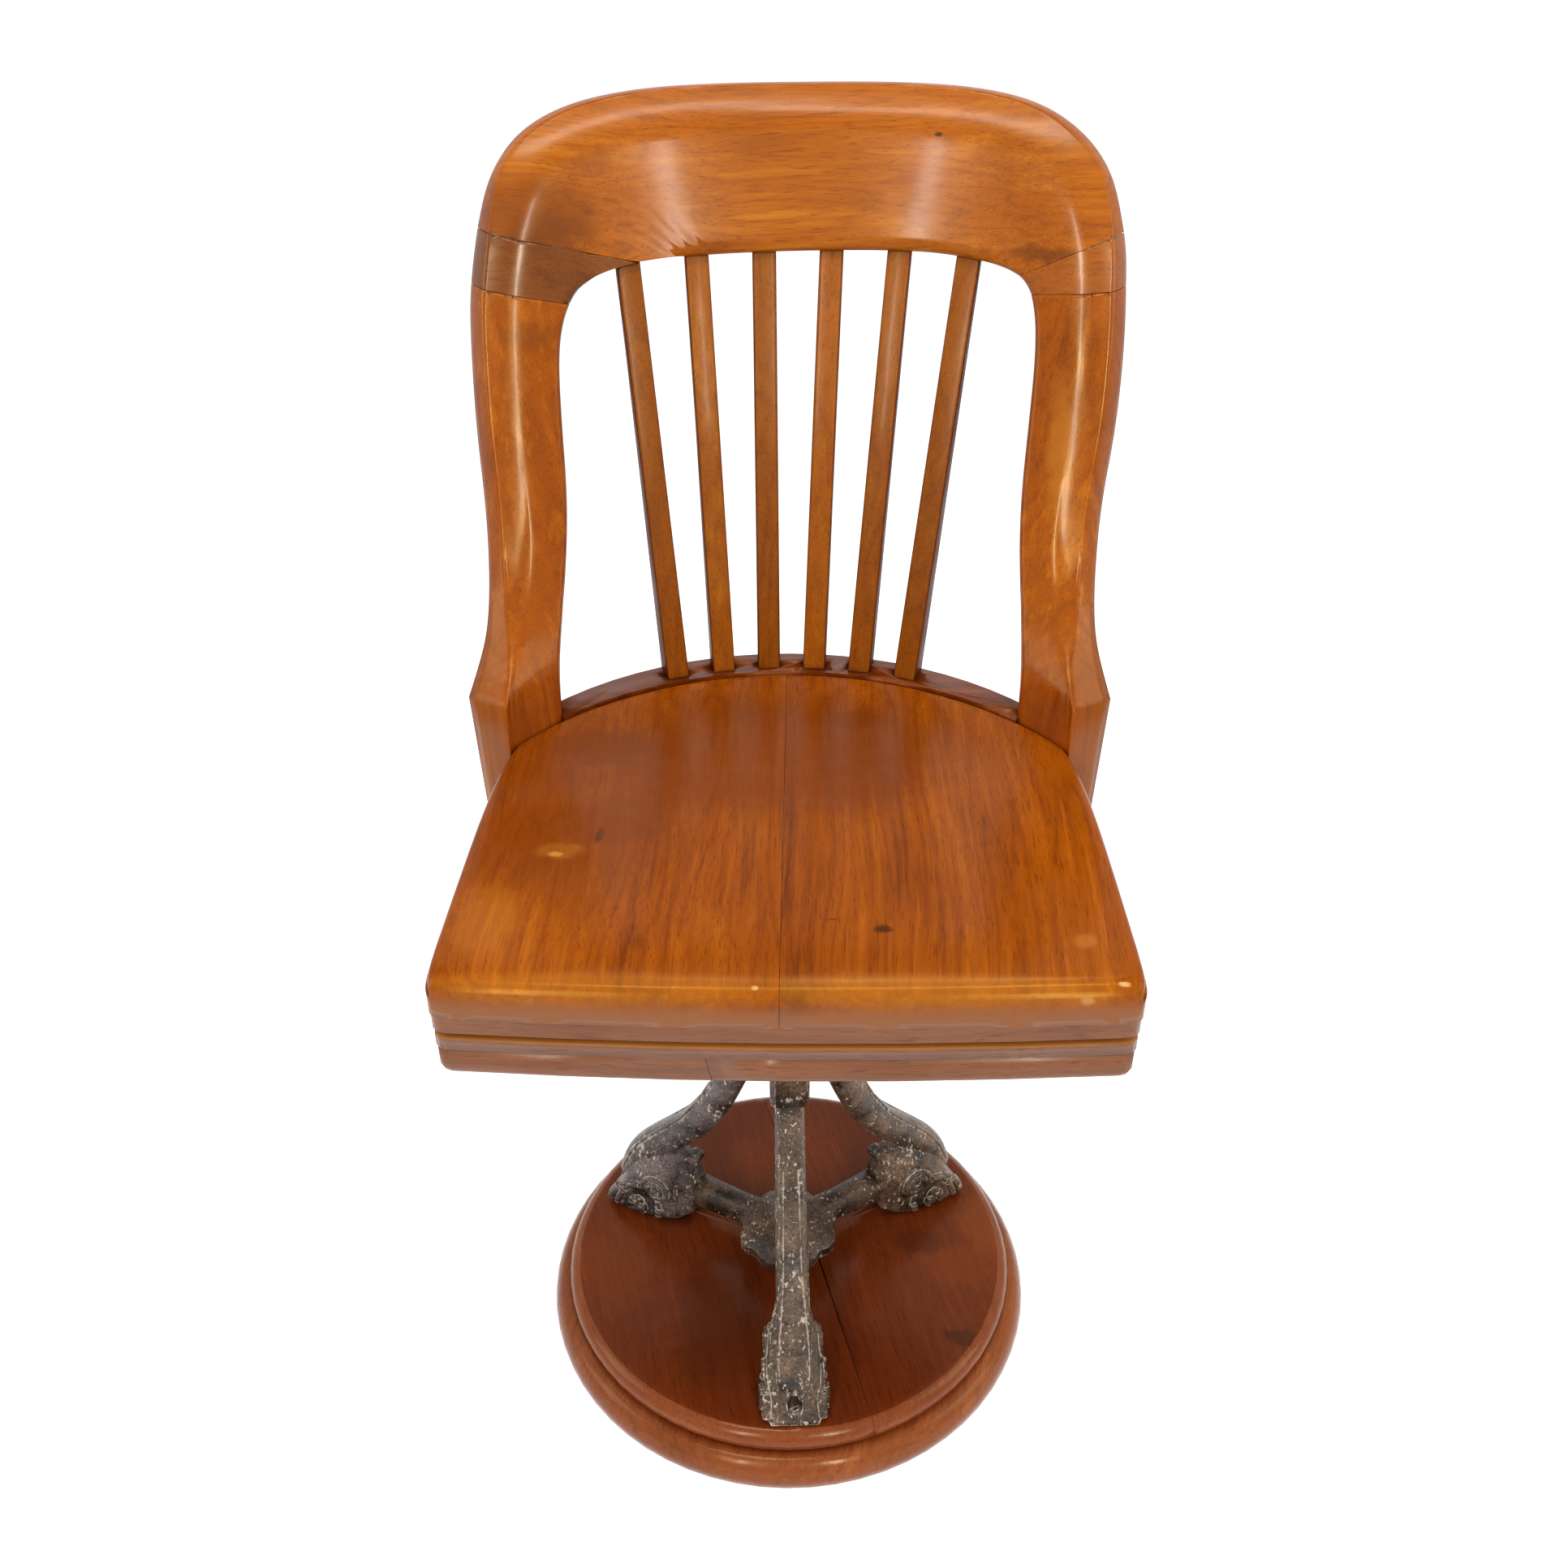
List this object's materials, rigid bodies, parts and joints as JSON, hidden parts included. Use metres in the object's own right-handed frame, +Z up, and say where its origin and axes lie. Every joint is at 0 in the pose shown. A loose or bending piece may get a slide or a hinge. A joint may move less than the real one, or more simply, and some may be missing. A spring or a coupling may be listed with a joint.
{
  "type": "swivel chair",
  "caption": "Wooden swivel chair with a curved slatted back on three iron scroll legs and a round wooden plinth.",
  "frame": {"origin": "centre of the plinth's underside, on the floor", "axes": "+Z up the chair, -Y out of the seat's front, +Y towards the back, +X to the right as seen from the front"},
  "size_m": [0.4865, 0.548, 0.9445],
  "materials": {
    "plinth_wood": "dark red-brown varnish, semi-gloss",
    "seat_wood": "orange-brown varnish, glossy",
    "frame_wood": "brown varnish, worn semi-gloss",
    "cast_iron": "dark paint worn to grey-brown iron",
    "steel": "dull aged steel",
    "brass": "dull aged brass"
  },
  "bodies": {
    "stand": {"plinth_lower_disc": "plinth_wood", "plinth_top_board_left": "plinth_wood", "plinth_top_board_right": "plinth_wood", "leg_front": "cast_iron", "foot_screw_front": "steel", "leg_right": "cast_iron", "foot_screw_right": "steel", "leg_left": "cast_iron", "foot_screw_left": "steel", "leg_spider": "cast_iron", "hub_socket": "cast_iron", "hub_bolt_front": "steel", "hub_bolt_right": "steel", "hub_bolt_left": "steel", "thread_bush": "brass"},
    "spindle": {"spindle_screw": "steel", "thrust_washer": "brass", "pivot_washer": "brass", "pivot_nut": "steel"},
    "seat": {"seat_iron": "cast_iron", "seat_iron_screw_1": "steel", "seat_iron_screw_2": "steel", "seat_iron_screw_3": "steel", "seat_iron_screw_4": "steel", "seat_board_left": "seat_wood", "seat_board_right": "seat_wood", "moulding_front": "frame_wood", "moulding_left": "frame_wood", "moulding_right": "frame_wood", "band_front": "frame_wood", "band_left": "frame_wood", "band_right": "frame_wood", "rail_front_left": "frame_wood", "rail_front_right": "frame_wood", "rail_left": "frame_wood", "rail_right": "frame_wood", "rail_rear": "frame_wood", "post_dowel_left": "seat_wood", "post_dowel_right": "seat_wood", "batten_left": "frame_wood", "batten_right": "frame_wood", "slat_1": "seat_wood", "slat_2": "seat_wood", "slat_3": "seat_wood", "slat_4": "seat_wood", "slat_5": "seat_wood", "slat_6": "seat_wood", "post_left": "seat_wood", "shoulder_block_left": "seat_wood", "post_right": "seat_wood", "shoulder_block_right": "seat_wood", "crest_rail": "seat_wood", "back_bow": "seat_wood"}
  },
  "joints": [
    {"name": "seat_height", "type": "slide", "parent": "stand", "child": "spindle", "axis": [0, 0, 1], "range_m": [0, 0.09]},
    {"name": "seat_swivel", "type": "hinge", "parent": "spindle", "child": "seat", "pos_m": [-0.0008, -0.006, 0.44], "axis": [0, 0, 1], "continuous": true}
  ]
}
